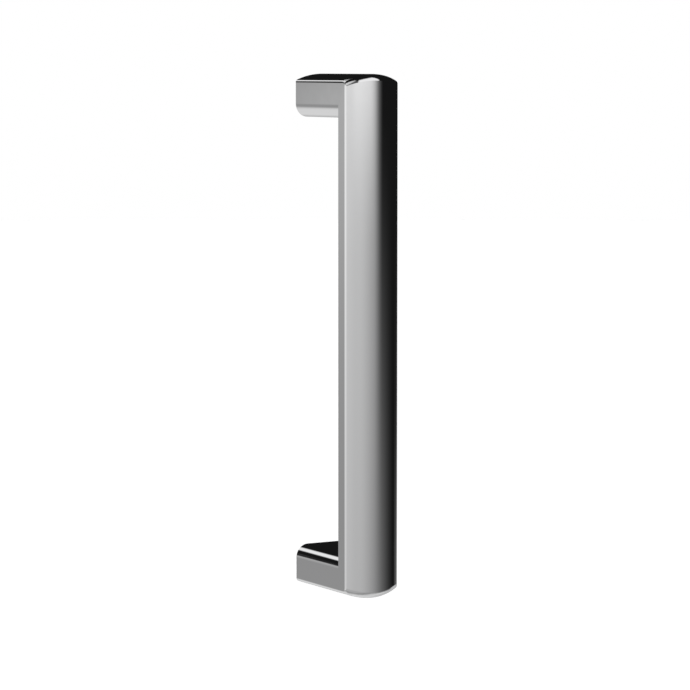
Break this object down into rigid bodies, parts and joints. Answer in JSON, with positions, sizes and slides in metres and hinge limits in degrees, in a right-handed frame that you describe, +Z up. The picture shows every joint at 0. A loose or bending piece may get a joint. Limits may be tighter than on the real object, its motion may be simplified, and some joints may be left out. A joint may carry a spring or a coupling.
{
  "type": "shower door handle",
  "caption": "Bow handle for a shower door: straight grip with a bowed front and domed ends, square legs and tapped fixing holes in their feet.",
  "frame": {"origin": "on the mounting plane, midway between the axes of the fixing holes", "axes": "+Z up along the grip, +Y out of the feet towards the door, -Y out of the bowed front, +X across the width"},
  "size_m": [0.0244, 0.042, 0.2094],
  "materials": {
    "handle": "polished chrome plating on a zinc casting"
  },
  "bodies": {
    "root": {"handle": "handle"}
  },
  "joints": []
}
